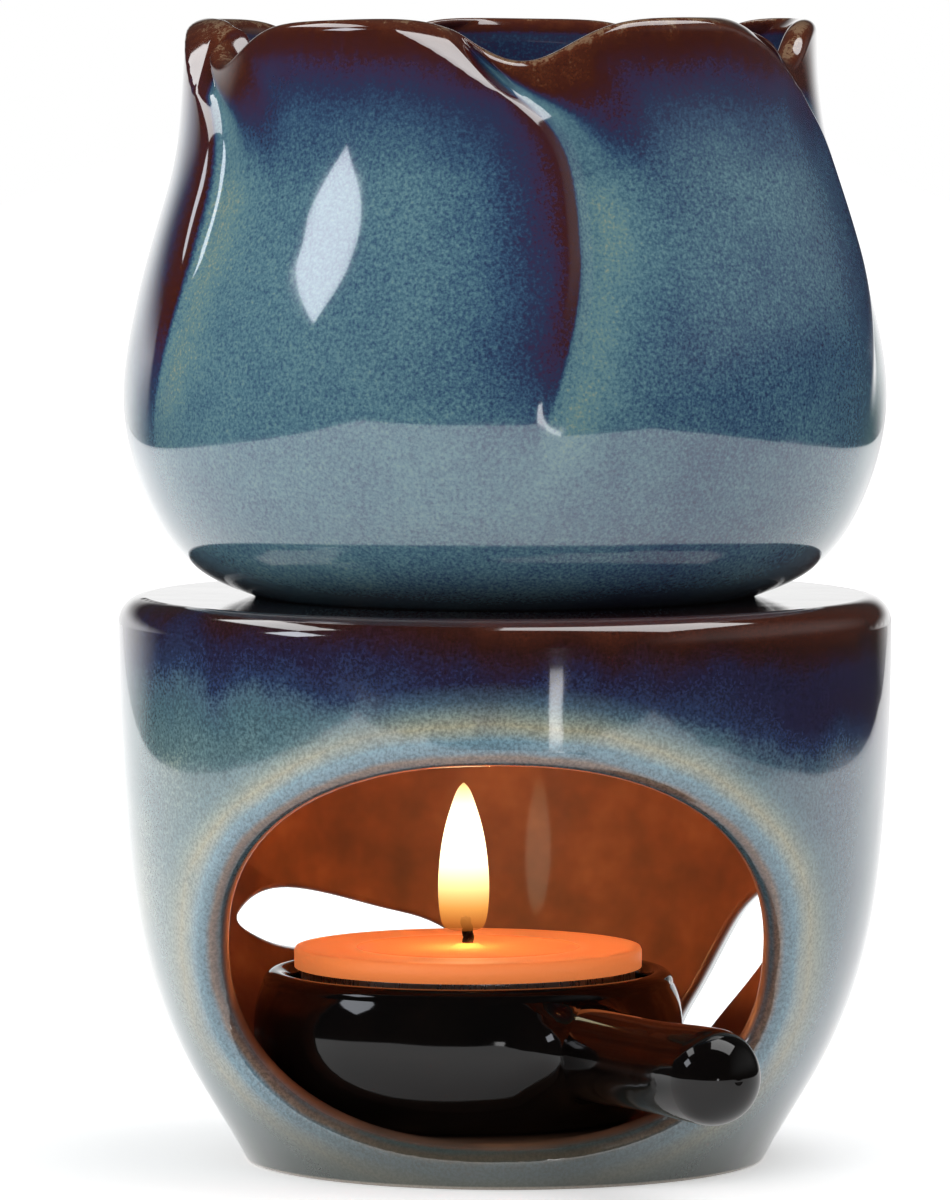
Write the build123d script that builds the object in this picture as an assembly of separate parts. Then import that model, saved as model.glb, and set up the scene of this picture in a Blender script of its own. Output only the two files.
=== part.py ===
"""Essential oil burner: a tulip bowl on a round stand, with a tealight in a handled dish inside.

All lengths are in millimetres. +Z is up, the large opening faces -Y, and the origin is at the
centre of the stand's foot, on the surface that the burner stands on.
"""

import math
import os

from build123d import *

os.makedirs("parts", exist_ok=True)

# Overrun of every cutting tool past the face that it cuts
overrun = 2.0

# Stand
stand_height = 64.4
stand_radius = 44.0
stand_wall = 4.0
stand_floor = 5.0
stand_top = 4.4
shoulder_radius = 3.0
foot_radius = 29.5
foot_ring_width = 5.0
foot_recess = 1.2
foot_edge = 0.6
chamber_corner = 4.0
# Wall outline from the foot to the shoulder: height share of the stand, radius share of the stand
stand_outline_shares = ((0.16, 0.809), (0.373, 0.932), (0.655, 0.986))
stand_foot_slope_shares = (0.50, 1.0)
chamber_station_shares = (0.0, 0.2, 0.4, 0.6, 0.8, 1.0)

# Front opening of the stand, a rounded oval cut straight through the front wall. Its outer edge
# is rounder than its inner one
opening_half_width = 29.8
opening_bottom = 5.2
opening_top = 48.3
opening_offset = -1.1
opening_power = 2.3
opening_point_count = 32
opening_edge = 2.0
opening_inner_edge = 0.6

# Leaf-shaped vents in the back wall. The turn is that of the cut from straight back, the tip is
# placed beside the axis and above the table, and the lean is the leaf's own angle, in degrees
left_vent_angle = 10.0
left_vent_tip_side = 1.3
left_vent_tip_height = 20.8
left_vent_lean_angle = 170.0
left_vent_length = 28.6
left_vent_width = 6.8
right_vent_angle = -15.0
right_vent_tip_side = 12.2
right_vent_tip_height = 7.8
right_vent_lean_angle = 57.0
right_vent_length = 25.0
right_vent_width = 6.2
vent_edge = 0.6
# Half of a leaf's outline: share of its length from the tip, share of its half width
leaf_shares = ((0.03, 0.20), (0.32, 0.72), (0.66, 1.0), (0.92, 0.66))

# Seat of the bowl in the stand
seat_hole_radius = 25.0
seat_clearance = 0.5
seat_hole_edge = 1.0
spigot_length = 3.0
spigot_edge = 0.8

# Tulip bowl
bowl_height = 65.6
bowl_radius = 43.4
bowl_wall = 4.0
bowl_floor = 3.4
rim_thickness = 3.3
petal_step = 2.5
petal_fold_width = 5.0
rim_notch = 4.8
# Bowl outline from the foot to the rim: height share of the bowl, radius share of the bowl
bowl_outline_shares = (
    (0.0, 0.652),
    (0.044, 0.797),
    (0.186, 0.947),
    (0.346, 1.0),
    (0.542, 0.968),
    (0.755, 0.878),
    (0.897, 0.836),
    (1.0, 0.818),
)
bowl_floor_ring_shares = (0.66, 0.33)
# Free edge of each petal at the height where it stands furthest round, in degrees from the front
petal_edge_angles = (11.6, 70.5, 147.0, 224.0, 301.0)
petal_edge_height_share = 0.6
petal_rim_angle = 28.0
petal_rim_turn_power = 2.2
petal_foot_angle = 18.6
petal_foot_turn_power = 1.5
# Height shares between which the petal step grows, and above which the rim's wave reaches
step_fade_shares = (0.19, 0.50)
rim_wave_start_share = 0.45
# Share of the petal step that is left at the rim
rim_step_share = 0.62
rim_notch_angle = -5.0
rim_notch_spread_angle = 12.9
petal_point_count = 14
point_crowding_share = 0.72
wall_ring_count = 15
rim_ring_count = 4
ring_crowding_power = 1.5

# Candle dish with its stub handle
dish_height = 17.0
dish_radius = 24.2
dish_foot_radius = 16.5
dish_mouth_radius = 20.4
dish_floor = 3.5
dish_inside_corner = 1.2
dish_side = -4.2
dish_back = -4.0
# Outline of the dish from the foot to the rim: height share, radius share
dish_outline_shares = ((0.12, 0.875), (0.47, 1.0))
dish_rim_share = 0.965
handle_angle = 31.7
handle_reach = 50.6
handle_height = 9.8
handle_tip_radius = 5.35
handle_waist_radius = 5.1
handle_root_radius = 5.4
handle_waist_share = 0.7
handle_blend = 7.0

# Tealight
tealight_radius = 19.0
tealight_height = 16.0
cup_wall = 0.4
cup_bead_radius = 0.5
cup_base_corner = 1.2
wax_drop = 0.5
wax_clearance = 0.02
wick_radius = 0.9
wick_above_wax = 4.2
wick_clearance = 0.02
sustainer_radius = 6.5
sustainer_thickness = 0.3
sustainer_neck_radius = 1.5
sustainer_neck_height = 3.0

# Places that the pieces share, above the surface that the burner stands on
dish_z = stand_floor
tealight_z = dish_z + dish_floor
bowl_z = stand_height
opening_rise = (opening_top + opening_bottom) / 2
opening_half_height = (opening_top - opening_bottom) / 2


# Cylinders stand on their lower face
standing = (Align.CENTER, Align.CENTER, Align.MIN)


def turned(face):
    """Spins a profile drawn in X and Y about the Z axis, with its Y turned up along Z."""
    return revolve(Plane.XZ * face, Axis.Z)


def inset(edge, share, depth):
    """A point beside an outline that climbs on the right of its axis, a depth inside it."""
    place = edge @ share
    run = edge % share
    return Vector(place.X - depth * run.Y, place.Y + depth * run.X)


def smooth_step(value):
    """0 below 0, 1 above 1, and a smooth rise between."""
    value = min(max(value, 0.0), 1.0)
    return value * value * (3 - 2 * value)


def superellipse(half_width, half_height, power, count):
    """Points round an oval that is squarer than an ellipse."""
    points = []
    for index in range(count):
        angle = 2 * math.pi * index / count
        across = math.cos(angle)
        up = math.sin(angle)
        x = half_width * math.copysign(abs(across) ** (2 / power), across)
        y = half_height * math.copysign(abs(up) ** (2 / power), up)
        points.append((x, y))
    return points


def stand_wall_outline():
    """The outside of the stand's wall, from its foot to its shoulder."""
    points = [(foot_radius, 0)]
    points += [(stand_radius * r, stand_height * z) for z, r in stand_outline_shares]
    points.append((stand_radius, stand_height - shoulder_radius))
    return Edge.make_spline(points, tangents=[stand_foot_slope_shares, (0, 1)])


def stand_body():
    """The turned outside of the stand, with its rounded shoulder and recessed foot."""
    wall = stand_wall_outline()
    shoulder = RadiusArc(
        (stand_radius, stand_height - shoulder_radius),
        (stand_radius - shoulder_radius, stand_height),
        -shoulder_radius,
    )
    rest = Polyline((stand_radius - shoulder_radius, stand_height), (0, stand_height), (0, 0), (foot_radius, 0))
    body = turned(make_face(Curve() + [wall, shoulder, rest]))
    recess = Cylinder(foot_radius - foot_ring_width, foot_recess + overrun, align=standing)
    body -= Pos(0, 0, -overrun) * recess
    return fillet(body.edges().filter_by(GeomType.CIRCLE).group_by(Axis.Z)[0], foot_edge)


def chamber():
    """The hollow inside the stand, a wall's thickness inside its outline."""
    wall = stand_wall_outline()
    points = [inset(wall, share, stand_wall) for share in chamber_station_shares]
    side = Edge.make_spline(points)
    low = side @ 0
    high = side @ 1
    rest = Polyline((high.X, high.Y), (0, high.Y), (0, low.Y), (low.X, low.Y))
    hollow = make_face(Curve() + [side, rest])
    height = stand_height - stand_floor - stand_top
    band = Pos(0, stand_floor) * Rectangle(2 * stand_radius, height, align=(Align.CENTER, Align.MIN))
    hollow = hollow & band
    corners = hollow.vertices().filter_by(lambda v: v.X > chamber_corner)
    return turned(fillet(corners, chamber_corner))


def front_opening():
    """The tool that cuts the front opening, as deep as the stand's axis."""
    points = superellipse(opening_half_width, opening_half_height, opening_power, opening_point_count)
    outline = make_face(Edge.make_spline(points, periodic=True))
    outline = Plane.XZ * Pos(opening_offset, opening_rise) * outline
    return extrude(outline, stand_radius + overrun)


def leaf(length, width):
    """A leaf in X and Y with its narrow tip at the origin and its round end along X."""
    upper = [(length * a, width / 2 * b) for a, b in leaf_shares]
    lower = [(x, -y) for x, y in reversed(upper)]
    return make_face(Edge.make_spline([(length, 0)] + lower + [(0, 0)] + upper, periodic=True))


def vent(turn, tip_side, tip_height, lean, length, width):
    """The tool that cuts one vent, from the stand's axis out through the back wall."""
    outline = Plane.XZ * Pos(tip_side, tip_height) * Rot(0, 0, lean) * leaf(length, width)
    tool = extrude(outline, -(stand_radius + overrun))
    return Rot(0, 0, turn) * tool


def left_vent():
    """The tool of the vent on the left of the candle."""
    return vent(
        left_vent_angle,
        left_vent_tip_side,
        left_vent_tip_height,
        left_vent_lean_angle,
        left_vent_length,
        left_vent_width,
    )


def right_vent():
    """The tool of the vent on the right of the candle."""
    return vent(
        right_vent_angle,
        right_vent_tip_side,
        right_vent_tip_height,
        right_vent_lean_angle,
        right_vent_length,
        right_vent_width,
    )


def cut_and_round(body, tool, radius):
    """Cuts a tool from a body and rounds the edges where their surfaces met."""
    cut = body - tool
    edges = new_edges(body, tool, combined=cut).filter_by(GeomType.LINE, reverse=True)
    return fillet(edges, radius)


def stand():
    """The glazed stand: foot, wall, chamber, front opening, two vents and the bowl's hole."""
    opened = cut_and_round(stand_body(), front_opening(), opening_edge)
    hollow = cut_and_round(opened, chamber(), opening_inner_edge)
    hole = Cylinder(seat_hole_radius, stand_top + 2 * overrun, align=standing)
    holed = cut_and_round(hollow, Pos(0, 0, stand_height - stand_top - overrun) * hole, seat_hole_edge)
    return cut_and_round(holed, left_vent() + right_vent(), vent_edge)


def bowl_outline():
    """The outside of the bowl from its foot up to the rounding of its rim, before the petals."""
    side_height = bowl_height - rim_thickness / 2
    points = [(bowl_radius * r, side_height * z) for z, r in bowl_outline_shares]
    return Edge.make_spline(points)


def petal_place(index):
    """Azimuth of a point of a ring, and its angles from the petal edges on its two sides."""
    petal = index // petal_point_count
    share = (index % petal_point_count) / petal_point_count
    share -= point_crowding_share * math.sin(2 * math.pi * share) / (2 * math.pi)
    start = math.radians(petal_edge_angles[petal])
    width = (math.radians(petal_edge_angles[(petal + 1) % len(petal_edge_angles)]) - start) % math.tau
    return start + width * share, width * share, width * (1 - share)


def petal_wave(past, before, half_fold):
    """1 on the free edge of a petal, -1 in the groove beside it, from the angles to both edges."""
    if past < half_fold:
        return -math.sin(math.pi / 2 * past / half_fold)
    if before < half_fold:
        return math.sin(math.pi / 2 * before / half_fold)
    return -math.cos(math.pi * (past - half_fold) / (past + before - 2 * half_fold))


def edge_turn(height_share):
    """How far a petal's free edge is turned back from its furthest place at a height."""
    above = (height_share - petal_edge_height_share) / (1 - petal_edge_height_share)
    if above > 0:
        return -math.radians(petal_rim_angle) * above**petal_rim_turn_power
    below = (petal_edge_height_share - height_share) / petal_edge_height_share
    return -math.radians(petal_foot_angle) * below**petal_foot_turn_power


def rim_dip(azimuth):
    """How far the rim lies below the petals' tips at an azimuth."""
    dip = 0.0
    for edge_angle in petal_edge_angles:
        apart = math.remainder(azimuth - math.radians(edge_angle + rim_notch_angle), math.tau)
        dip += math.exp(-((apart / math.radians(rim_notch_spread_angle)) ** 2))
    return rim_notch * dip


def bowl_ring(radius, height):
    """One ring of the bowl's skin, with the petals' steps and the rim's wave at its height."""
    height_share = min(height / bowl_height, 1.0)
    low, high = step_fade_shares
    step = petal_step / 2 * smooth_step((height_share - low) / (high - low))
    wave_share = max(height_share - rim_wave_start_share, 0.0) / (1 - rim_wave_start_share)
    step *= 1 - (1 - rim_step_share) * wave_share
    half_fold = petal_fold_width / 2 / bowl_radius
    turn = edge_turn(height_share)
    count = len(petal_edge_angles) * petal_point_count
    points = []
    for index in range(count):
        azimuth, past, before = petal_place(index)
        reach = radius + step * petal_wave(past, before, half_fold)
        angle = azimuth + turn
        rise = height - rim_dip(angle) * wave_share**2
        points.append((reach * math.sin(angle), -reach * math.cos(angle), rise))
    places = [index / count for index in range(count + 1)]
    return Wire([Edge.make_spline(points, periodic=True, parameters=places)])


def bowl_skin():
    """The bowl's skin as one loft: up the outside, over the rim and down the inside."""
    outline = bowl_outline()
    shares = [1 - (1 - index / (wall_ring_count - 1)) ** ring_crowding_power for index in range(wall_ring_count)]
    outside = [outline @ share for share in shares]
    inside = [
        inset(outline, share, bowl_wall + (rim_thickness - bowl_wall) * share**2) for share in reversed(shares)
    ]
    top = outline @ 1
    rim = []
    for index in range(1, rim_ring_count + 1):
        angle = math.pi * index / (rim_ring_count + 1)
        across = rim_thickness / 2 * (1 - math.cos(angle))
        rim.append(Vector(top.X - across, top.Y + rim_thickness / 2 * math.sin(angle)))
    edge = inside[-1]
    floor = [Vector(edge.X * share, bowl_floor) for share in bowl_floor_ring_shares]
    rings = [bowl_ring(place.X, place.Y) for place in outside + rim + inside + floor]
    return Solid.make_loft(rings)


def tulip_bowl():
    """The petalled bowl with the spigot that centres it in the stand's hole."""
    spigot = Cylinder(seat_hole_radius - seat_clearance, spigot_length + bowl_floor / 2, align=standing)
    spigot = fillet(spigot.edges().filter_by(GeomType.CIRCLE).group_by(Axis.Z)[0], spigot_edge)
    return Pos(0, 0, bowl_z) * (bowl_skin() + Pos(0, 0, -spigot_length) * spigot)


def dish_handle():
    """The stub handle, turned about its own axis, from inside the dish's wall to its round tip."""
    root = dish_mouth_radius
    waist = root + (handle_reach - root) * handle_waist_share
    points = [(root, handle_root_radius), (waist, handle_waist_radius), (handle_reach, handle_tip_radius)]
    side = Edge.make_spline(points, tangents=[(1, 0), (1, 0)])
    tip = RadiusArc(points[-1], (handle_reach + handle_tip_radius, 0), handle_tip_radius)
    rest = Polyline(tip @ 1, (root, 0), points[0])
    handle = revolve(make_face(Curve() + [side, tip, rest]), Axis.X)
    return Pos(0, 0, handle_height) * Rot(0, 0, handle_angle - 90) * handle


def dish_body():
    """The turned outside of the dish, up to the crown of its rounded rim."""
    rim_radius = (dish_radius * dish_rim_share - dish_mouth_radius) / 2
    crown = (dish_mouth_radius + rim_radius, dish_height)
    inner = (dish_mouth_radius, dish_height - rim_radius)
    points = [(dish_foot_radius, 0)]
    points += [(dish_radius * r, dish_height * z) for z, r in dish_outline_shares]
    points.append((dish_mouth_radius + 2 * rim_radius, dish_height - rim_radius))
    side = Edge.make_spline(points)
    rim = ThreePointArc(points[-1], crown, inner)
    rest = Polyline(inner, (0, dish_height - rim_radius), (0, 0), points[0])
    return turned(make_face(Curve() + [side, rim, rest]))


def candle_dish():
    """The black dish that carries the tealight, with its handle blended into its side."""
    body = dish_body()
    handle = dish_handle()
    joined = body + handle
    joined = fillet(new_edges(body, handle, combined=joined), handle_blend)
    mouth = Cylinder(dish_mouth_radius, dish_height, align=standing)
    mouth = fillet(mouth.edges().filter_by(GeomType.CIRCLE).group_by(Axis.Z)[0], dish_inside_corner)
    return Pos(dish_side, dish_back, dish_z) * (joined - Pos(0, 0, dish_floor) * mouth)


def tealight_cup():
    """The pressed metal cup with its outward curled rim."""
    inner_radius = tealight_radius - cup_wall
    cup = Cylinder(tealight_radius, tealight_height - cup_bead_radius, align=standing)
    cup = fillet(cup.edges().filter_by(GeomType.CIRCLE).group_by(Axis.Z)[0], cup_base_corner)
    hollow = Pos(0, 0, cup_wall) * Cylinder(inner_radius, tealight_height, align=standing)
    hollow = fillet(hollow.edges().filter_by(GeomType.CIRCLE).group_by(Axis.Z)[0], cup_base_corner - cup_wall)
    bead = Pos(0, 0, tealight_height - cup_bead_radius) * Torus(inner_radius + cup_bead_radius, cup_bead_radius)
    return tealight_place() * (cup - hollow + bead)


def tealight_place():
    """Where the middle of the tealight's underside stands."""
    return Pos(dish_side, dish_back, tealight_z)


def wick_sustainer():
    """The small metal disc and neck that hold the wick upright on the cup's floor."""
    disc = Cylinder(sustainer_radius, sustainer_thickness, align=standing)
    neck = Cylinder(sustainer_neck_radius, sustainer_neck_height, align=standing)
    bore = Cylinder(wick_radius + wick_clearance, sustainer_neck_height, align=standing)
    return tealight_place() * Pos(0, 0, cup_wall) * (disc + neck - bore)


def wick():
    """The wick, from the cup's floor to its round tip above the wax."""
    length = tealight_height - wax_drop - cup_wall + wick_above_wax
    stem = Cylinder(wick_radius, length, align=standing)
    stem = fillet(stem.edges().filter_by(GeomType.CIRCLE).group_by(Axis.Z)[-1], wick_radius / 2)
    return tealight_place() * Pos(0, 0, cup_wall) * stem


def tealight_wax():
    """The wax round the wick and over the sustainer."""
    height = tealight_height - wax_drop - cup_wall
    wax = Cylinder(tealight_radius - cup_wall - wax_clearance, height, align=standing)
    wax = fillet(wax.edges().filter_by(GeomType.CIRCLE).group_by(Axis.Z)[0], cup_base_corner - cup_wall)
    disc = Cylinder(sustainer_radius + wax_clearance, sustainer_thickness, align=standing)
    neck = Cylinder(sustainer_neck_radius + wax_clearance, sustainer_neck_height, align=standing)
    bore = Cylinder(wick_radius + wick_clearance, height, align=standing)
    return tealight_place() * Pos(0, 0, cup_wall) * (wax - disc - neck - bore)


pieces = {
    "stand": stand,
    "tulip_bowl": tulip_bowl,
    "candle_dish": candle_dish,
    "tealight_cup": tealight_cup,
    "tealight_wax": tealight_wax,
    "wick": wick,
    "wick_sustainer": wick_sustainer,
}
for name, make in pieces.items():
    export_step(make(), f"parts/{name}.step")
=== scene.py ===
"""Looks of the essential oil burner: reactive glazes, a lit tealight, soft studio light.

Lengths in this file are in millimetres unless a name says otherwise, and mm turns them into the
scene's metres. +Z is up and the large opening faces -Y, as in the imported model.
"""

import math

import bpy
import numpy as np
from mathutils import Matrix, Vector


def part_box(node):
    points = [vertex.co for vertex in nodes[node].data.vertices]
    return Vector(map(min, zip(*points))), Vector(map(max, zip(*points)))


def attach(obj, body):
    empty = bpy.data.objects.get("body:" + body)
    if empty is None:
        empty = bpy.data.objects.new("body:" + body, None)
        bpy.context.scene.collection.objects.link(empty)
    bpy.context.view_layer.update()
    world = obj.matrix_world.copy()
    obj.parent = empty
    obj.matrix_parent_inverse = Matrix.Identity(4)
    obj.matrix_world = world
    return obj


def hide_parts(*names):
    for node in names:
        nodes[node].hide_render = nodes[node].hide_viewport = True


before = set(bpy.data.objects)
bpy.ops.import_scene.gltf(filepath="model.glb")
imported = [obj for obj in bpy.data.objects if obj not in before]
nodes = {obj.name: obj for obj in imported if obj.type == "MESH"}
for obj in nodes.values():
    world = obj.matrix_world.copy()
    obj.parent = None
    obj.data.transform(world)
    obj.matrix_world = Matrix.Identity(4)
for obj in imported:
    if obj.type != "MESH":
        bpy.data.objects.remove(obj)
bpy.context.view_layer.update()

mm = 0.001

# Sizes of the stand that its finish follows
stand_height = 64.4
stand_radius = 44.0
stand_floor = 5.0
stand_top = 4.4
stand_outline = ((0.0, 29.5), (10.3, 35.6), (24.0, 41.0), (42.2, 43.4), (61.4, 44.0))
opening_half_width = 29.8
opening_half_height = 21.55
opening_offset = -1.1
opening_rise = 26.75
opening_power = 2.3

# Tulip bowl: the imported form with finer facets, and with its lips, edges and tips as in the photograph
bowl_z = stand_height
bowl_height = 65.6
bowl_radius = 43.4
bowl_wall = 4.0
bowl_floor = 3.4
rim_thickness = 3.3
spigot_radius = 24.5
spigot_length = 3.0
spigot_edge = 0.8
bowl_outline_shares = (
    (0.0, 0.652),
    (0.044, 0.797),
    (0.186, 0.947),
    (0.346, 1.0),
    (0.542, 0.968),
    (0.755, 0.878),
    (0.897, 0.836),
    (1.0, 0.818),
)

# Free edges of the petals: their places round the bowl, their step and how they lean with height
petal_edge_angles = (11.6, 76.5, 147.0, 224.0, 301.0)
petal_step = 2.5
petal_fold_width = 4.2
step_fade_shares = (0.27, 0.72)
petal_edge_height_share = 0.6
petal_rim_angle = 23.0
petal_rim_turn_power = 3.8
petal_foot_angle = 18.6
petal_foot_turn_power = 1.5

# Rim of the bowl: the wave, the notch at each free edge and the lip beside it
rim_wave_start_share = 0.45
rim_step_share = 0.62
rim_notch = 4.8
rim_notch_angle = -8.5
rim_notch_spread_angles = (12.9, 9.5, 12.9, 12.9, 12.9)
lip_depth = 5.5
lip_reach = 12.0
lip_lean = 0.6

# What differs from petal to petal, in the order of their first edges
petal_drops = (0.0, 0.2, 0.2, 0.2, 0.45)
petal_hollows = (0.0, 0.0, 0.0, 1.1, 0.0)
petal_tones = (-0.03, 0.0, 0.02, -0.03, 0.01)
petal_foot_tones = (-0.09, -0.03, 0.0, 0.0, 0.02)
petal_run_shares = (0.4, 1.0, 0.9, 1.0, 1.0)
hollow_rise_shares = (0.28, 0.52)
hollow_fall_shares = (0.98, 0.70)

# Facets of the bowl
petal_column_count = 110
column_crowding_share = 0.8
outside_ring_count = 120
rim_ring_count = 14
inside_ring_count = 70
floor_ring_count = 10

# Thickness of the bowl's glaze, by the depth under the rim and by the distance past a free edge
glaze_base = 0.71
glaze_by_rim_depth = (
    (0.0, 0.0),
    (0.5, 0.06),
    (1.4, 0.12),
    (2.8, 0.18),
    (4.3, 0.29),
    (6.8, 0.42),
    (10.8, 0.56),
    (18.0, 0.72),
)
glaze_loss_by_edge = (
    (-17.0, 0.0),
    (-11.0, -0.09),
    (-7.0, -0.21),
    (-3.5, -0.35),
    (-1.5, -0.50),
    (-0.3, -0.50),
    (0.4, 0.0),
)
glaze_pool_by_edge = (
    (-0.3, 0.0),
    (0.4, 0.09),
    (1.6, 0.12),
    (3.0, 0.16),
    (5.0, 0.13),
    (7.0, 0.06),
    (11.0, 0.0),
)
glaze_pool_most = 0.16
glaze_pool_base = 0.62
rim_glaze_depth = 18.0
pool_squeeze_depths = (18.0, 4.0)
pool_squeeze = 1.5
pool_rim_depths = (0.5, 2.5)
rim_loss_share = 0.5
notch_thinning = 0.20
notch_thinning_floor = 0.10
notch_start_sides = (0.0, 2.0)
notch_end_sides = (13.0, 8.0)
notch_depths = (22.0, 8.0)
petal_glaze_shares = (0.24, 0.54)
pool_shares = (0.16, 0.38)
foot_tone_shares = (0.66, 0.41)
inside_depth_gain = 4.0
inside_glaze_most = 0.46

# Tealight: its place in the dish, its melted wax and the wax run over the cup's bead
dish_side = -4.2
dish_back = -4.0
wax_top = 24.0
wax_fill = 0.55
wax_ring_count = 70
wax_column_count = 160
wax_foot_edges = (0.3, 1.2)
melt_radius_share = 0.72
melt_slope_share = 0.12
melt_depth = 0.06
ridge_place_share = 0.06
ridge_width_share = 0.05
ridge_height = 0.02
climb_height = 0.5
climb_reach = 0.7
meniscus_height = 0.15
meniscus_reach = 0.5
brim_rise = 0.5
run_foot = 22.35
run_gap = 0.04
run_thickness = 0.1
bead_cover = ((0.16, -0.3), (0.0, 0.05), (-0.4, 0.12))

# Wick, of strands twisted together
wick_radius = 0.9
wick_tip = 28.2
strand_count = 3
strand_radius = 0.36
strand_end_drop = 0.4
strand_point_count = 90
strand_side_count = 10
strand_spread = 0.34
strand_tip_closing = 0.08
strand_pitch = 3.2
tip_length = 2.4
tip_lean = -0.35

# Flame and the small lamp in it
flame_foot = 26.4
flame_tip = 43.2
flame_radius = 2.9
flame_shift = -0.5
flame_least_share = 0.01
flame_ring_count = 80
flame_column_count = 48
flame_outline = (
    (0.05, 0.0),
    (0.66, 0.012),
    (0.90, 0.08),
    (1.0, 0.26),
    (0.94, 0.48),
    (0.76, 0.68),
    (0.50, 0.84),
    (0.24, 0.955),
    (0.03, 1.0),
)
candle_lamp_z = 33.5
candle_lamp_radius = 2.5
candle_lamp_watts = 0.04
candle_lamp_color = (1.0, 0.48, 0.17)


class Shader:
    """The nodes of one material or of the world, added from the texture end to the surface end."""

    def __init__(self, name, world=False):
        owners = bpy.data.worlds if world else bpy.data.materials
        self.owner = owners.new(name)
        self.owner.use_nodes = True
        self.tree = self.owner.node_tree
        self.tree.nodes.clear()
        self.output = self.node("ShaderNodeOutputWorld" if world else "ShaderNodeOutputMaterial")

    def node(self, kind, inputs=None, **settings):
        """Adds a node, sets its options and sets or links its inputs."""
        added = self.tree.nodes.new(kind)
        for key, value in settings.items():
            setattr(added, key, value)
        for key, value in (inputs or {}).items():
            self.put(added.inputs[key], value)
        return added

    def put(self, socket, value):
        """Links a socket, or sets its value."""
        if isinstance(value, bpy.types.NodeSocket):
            self.tree.links.new(value, socket)
        else:
            socket.default_value = value

    def math(self, operation, *values):
        """The result of one math operation."""
        added = self.node("ShaderNodeMath", operation=operation)
        for socket, value in zip(added.inputs, values):
            self.put(socket, value)
        return added.outputs[0]

    def add(self, value, other, weight=1.0):
        """A value with another added to it by weight."""
        return self.math("MULTIPLY_ADD", other, weight, value)

    def times(self, value, *others):
        """The product of values."""
        for other in others:
            value = self.math("MULTIPLY", value, other)
        return value

    def between(self, share, first, last):
        """A value that goes from one number to another as a share goes from 0 to 1."""
        return self.math("MULTIPLY_ADD", share, last - first, first)

    def length(self, across, up):
        """The length of a line from its two upright parts."""
        return self.math("SQRT", self.add(self.times(across, across), up, up))

    def place(self):
        """A point of the piece at rest, in the scene's metres."""
        return self.node("ShaderNodeTexCoord").outputs["Object"]

    def parts(self, place):
        """X, Y and Z of a point, in millimetres."""
        split = self.node("ShaderNodeSeparateXYZ", {"Vector": place})
        return [self.math("DIVIDE", split.outputs[i], mm) for i in range(3)]

    def noise(self, place, grain, detail=2.0, roughness=0.5, stretch=(1, 1, 1)):
        """Noise about 0, from about -0.5 to 0.5, with grains of a size in millimetres."""
        scaled = self.node("ShaderNodeMapping", {"Vector": place})
        scaled.inputs["Scale"].default_value = [s / (grain * mm) for s in stretch]
        made = self.node(
            "ShaderNodeTexNoise",
            {"Vector": scaled.outputs[0], "Scale": 1.0, "Detail": detail, "Roughness": roughness},
        )
        return self.math("SUBTRACT", made.outputs[0], 0.5)

    def rise(self, value, low, high, least=0.0, most=1.0):
        """A smooth rise from the least at one value to the most at the other, and level beyond."""
        made = self.node(
            "ShaderNodeMapRange",
            {"Value": value, "From Min": low, "From Max": high, "To Min": least, "To Max": most},
            interpolation_type="SMOOTHSTEP",
        )
        return made.outputs[0]

    def ramp(self, value, stops):
        """Colour and alpha of a value between coloured stops."""
        made = self.node("ShaderNodeValToRGB", {"Fac": value})
        elements = made.color_ramp.elements
        while len(elements) < len(stops):
            elements.new(1.0)
        for element, (place, color) in zip(elements, stops):
            element.position = place
            element.color = tuple(color) + (1.0,) * (4 - len(color))
        return made.outputs

    def curve(self, value, points):
        """A smooth function of a value between 0 and 1, through points."""
        made = self.node("ShaderNodeFloatCurve", {"Value": value})
        line = made.mapping.curves[0]
        while len(line.points) < len(points):
            line.points.new(0.5, 0.5)
        for point, place in zip(line.points, points):
            point.location = place
        made.mapping.update()
        return made.outputs[0]

    def mix(self, share, first, second, kind="RGBA"):
        """A colour between two colours, or a value between two values where the kind is FLOAT."""
        made = self.node("ShaderNodeMix", {"Factor": share, "A": first, "B": second}, data_type=kind)
        return made.outputs["Result"]

    def bump(self, height, distance):
        """A normal from a height between -0.5 and 0.5, with a depth in millimetres."""
        made = self.node("ShaderNodeBump", {"Height": height, "Distance": distance * mm, "Strength": 1.0})
        return made.outputs[0]

    def surface(self, shader):
        """Ends the nodes in a shader."""
        self.tree.links.new(shader, self.output.inputs["Surface"])
        return self.owner

    def principled(self, **inputs):
        """Ends the material in a principled surface."""
        names = {key.replace("_", " "): value for key, value in inputs.items()}
        return self.surface(self.node("ShaderNodeBsdfPrincipled", names).outputs[0])


# Colours of the bowl's glaze by its thickness: bare edge, rust, purple, navy, teal, cream in pools
glaze_stops = (
    (0.00, (0.22, 0.13, 0.075)),
    (0.03, (0.10, 0.024, 0.009)),
    (0.13, (0.060, 0.011, 0.006)),
    (0.24, (0.054, 0.013, 0.018)),
    (0.34, (0.042, 0.026, 0.075)),
    (0.46, (0.024, 0.038, 0.098)),
    (0.58, (0.036, 0.087, 0.168)),
    (0.70, (0.074, 0.166, 0.228)),
    (0.80, (0.12, 0.245, 0.295)),
    (0.90, (0.17, 0.29, 0.28)),
    (1.00, (0.34, 0.37, 0.28)),
)

# Colours of the stand's glaze by its thickness: rust shoulder, navy, pale sides
stand_stops = (
    (0.00, (0.065, 0.015, 0.007)),
    (0.15, (0.034, 0.008, 0.005)),
    (0.30, (0.028, 0.009, 0.016)),
    (0.42, (0.018, 0.016, 0.052)),
    (0.55, (0.024, 0.043, 0.108)),
    (0.66, (0.070, 0.130, 0.180)),
    (0.76, (0.075, 0.150, 0.185)),
    (0.88, (0.125, 0.215, 0.230)),
    (1.00, (0.30, 0.35, 0.28)),
)

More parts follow.
